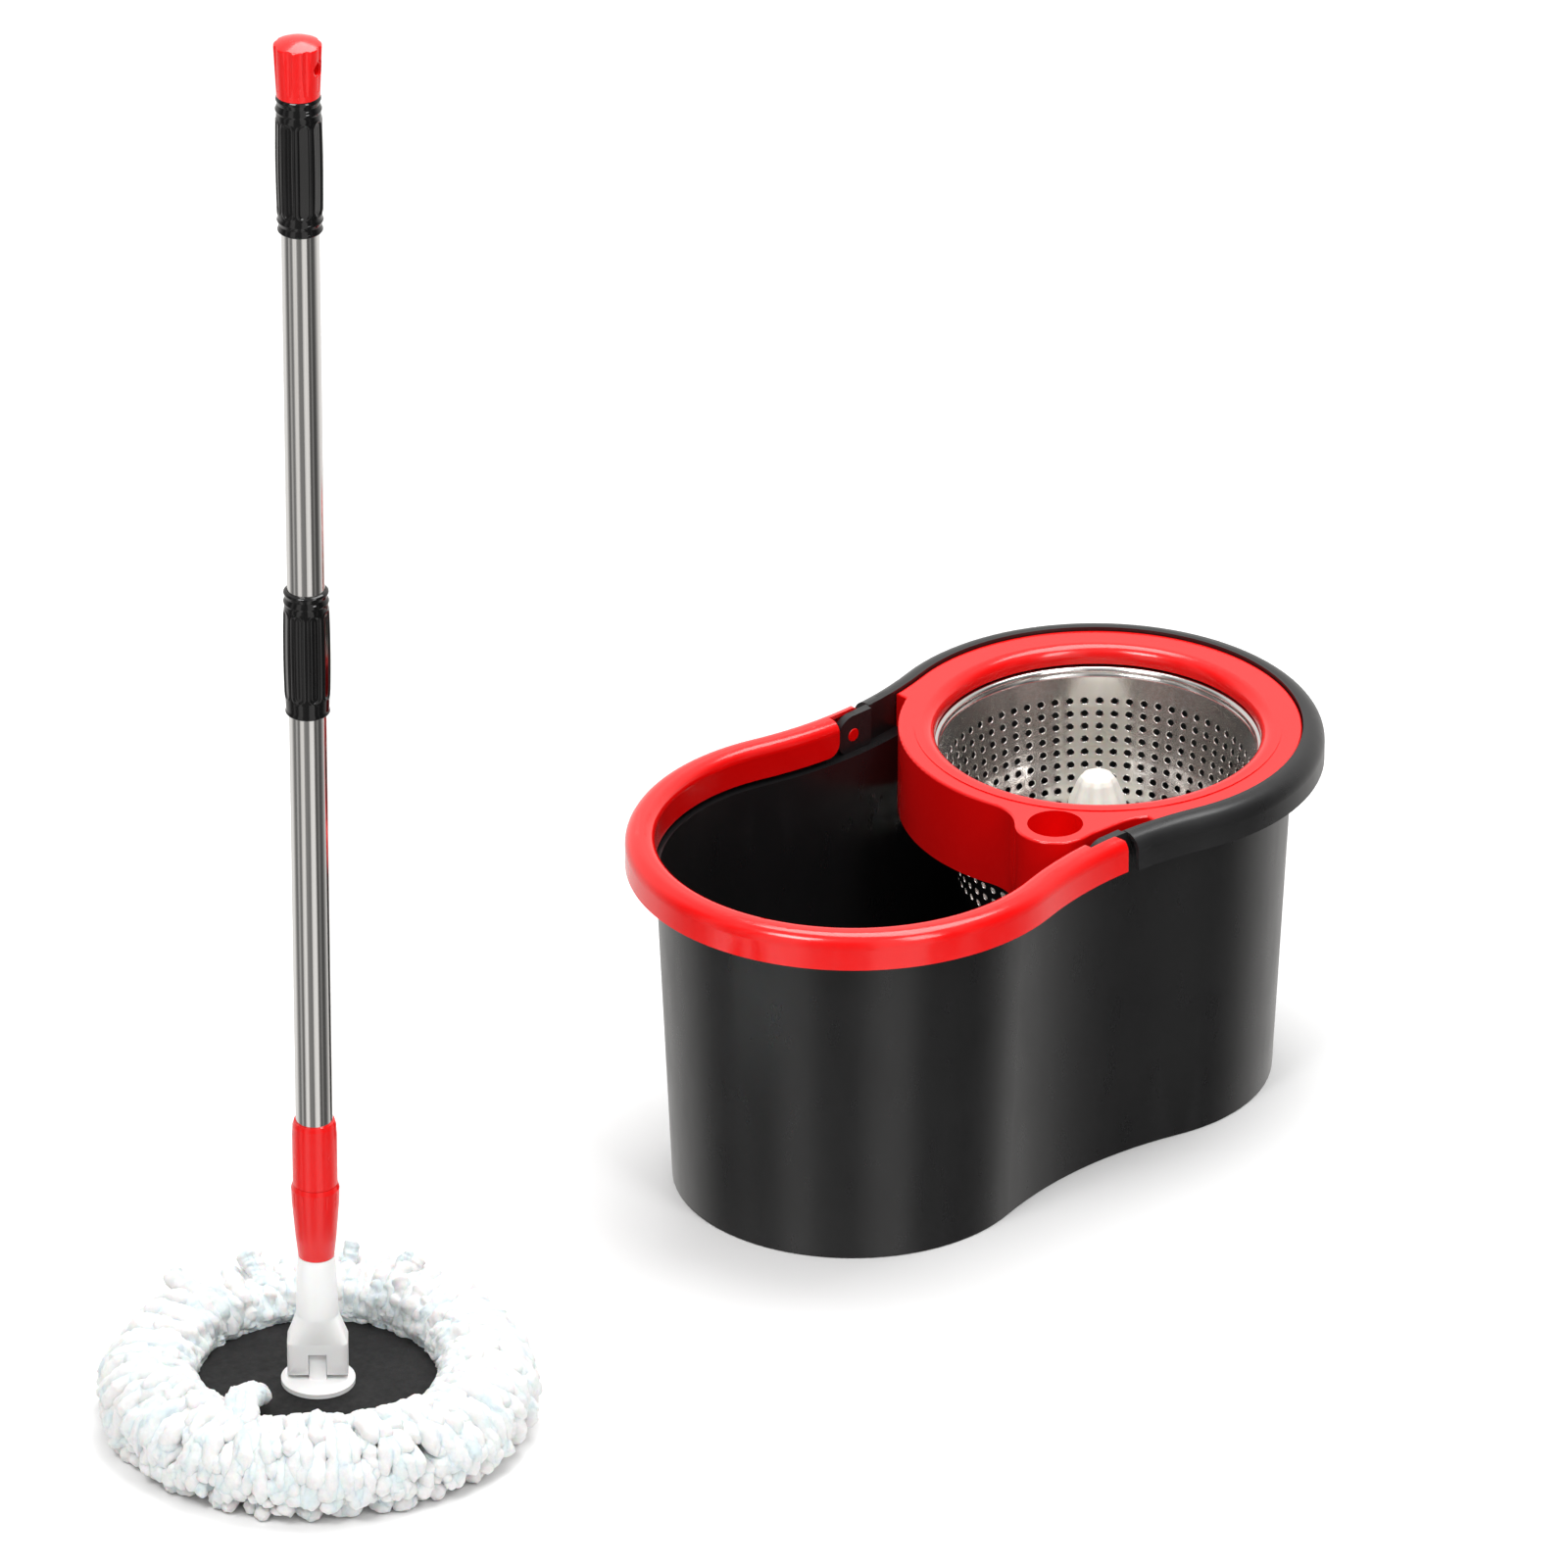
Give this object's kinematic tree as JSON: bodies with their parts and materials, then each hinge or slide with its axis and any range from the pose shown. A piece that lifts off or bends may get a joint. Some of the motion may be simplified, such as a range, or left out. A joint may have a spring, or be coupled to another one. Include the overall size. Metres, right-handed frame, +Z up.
{
  "type": "spin mop",
  "caption": "Two-lobed mop bucket with a steel spin basket and carry handle, and a telescopic spin mop with a tilting round microfibre head.",
  "frame": {"origin": "bottom centre of the whole set's box, on the floor", "axes": "+Z up; X along the bucket's long axis with the spin basket towards +X and the mop on the -X side; Y across the bucket"},
  "size_m": [0.9541, 0.2894, 0.942],
  "materials": {
    "black_shell": "semi-matte moulded plastic",
    "red_gloss": "gloss moulded plastic",
    "basket_steel": "polished perforated sheet",
    "post_plastic": "satin",
    "base_plastic": "satin",
    "bearing_plastic": "satin",
    "bright_steel": "bright turned steel",
    "microfibre": "fluffy chenille tufts",
    "disc_black": "matte",
    "hub_white": "satin",
    "tube_steel": "polished stainless tube",
    "grip_black": "gloss moulded plastic",
    "collar_red": "gloss moulded plastic"
  },
  "bodies": {
    "bucket": {"bucket_body": "black_shell", "splash_deck": "red_gloss", "spindle_pin": "bright_steel"},
    "basket": {"basket_bowl": "basket_steel", "basket_post": "post_plastic", "basket_base": "base_plastic", "basket_screws": "bright_steel", "spindle_bush": "bearing_plastic"},
    "handle": {"carry_handle": "red_gloss", "handle_pins": "red_gloss"},
    "mop_head": {"mop_fibres": "microfibre", "fibre_plate": "hub_white", "mop_disc": "disc_black", "disc_hub": "hub_white", "hub_screws": "bright_steel", "hinge_pin": "bright_steel"},
    "shaft": {"fork": "hub_white", "neck_sleeve": "hub_white", "inner_tube": "tube_steel", "drive_nut": "bearing_plastic"},
    "lock": {"lock_collar": "collar_red"},
    "bush": {"guide_bush": "bearing_plastic"},
    "pole": {"tube_collar": "collar_red", "lower_tube": "tube_steel", "twisted_strip": "bright_steel", "strip_plug": "base_plastic", "tube_connector": "base_plastic", "mid_sleeve": "grip_black", "upper_tube": "tube_steel", "grip": "grip_black", "hang_cap": "collar_red"}
  },
  "joints": [
    {"name": "basket_spin", "type": "hinge", "parent": "bucket", "child": "basket", "pos_m": [0.3324, 0, 0.12], "axis": [0, 0, 1], "continuous": true},
    {"name": "handle_swing", "type": "hinge", "parent": "bucket", "child": "handle", "pos_m": [0.22485, 0, 0.23], "axis": [0, 1, 0], "range_deg": [0, 90]},
    {"name": "mop_lift", "type": "slide", "parent": "bucket", "child": "mop_head", "axis": [0, 0, 1], "range_m": [0, 0.45]},
    {"name": "head_tilt", "type": "hinge", "parent": "mop_head", "child": "shaft", "pos_m": [-0.3371, 0, 0.041], "axis": [0.729, -0.6845, 0], "range_deg": [-70, 70]},
    {"name": "lock_twist", "type": "hinge", "parent": "shaft", "child": "lock", "pos_m": [-0.3371, 0, 0.14], "axis": [0, 0, 1], "range_deg": [0, 60]},
    {"name": "head_spin", "type": "hinge", "parent": "shaft", "child": "bush", "pos_m": [-0.3371, 0, 0.41], "axis": [0, 0, 1], "range_deg": [-1, 721]},
    {"name": "handle_press", "type": "slide", "parent": "bush", "child": "pole", "axis": [0, 0, 1], "range_m": [0, 0.2]}
  ],
  "couplings": [
    {"joint": "head_spin", "follows": "handle_press", "rad_per_m": 62.832}
  ]
}
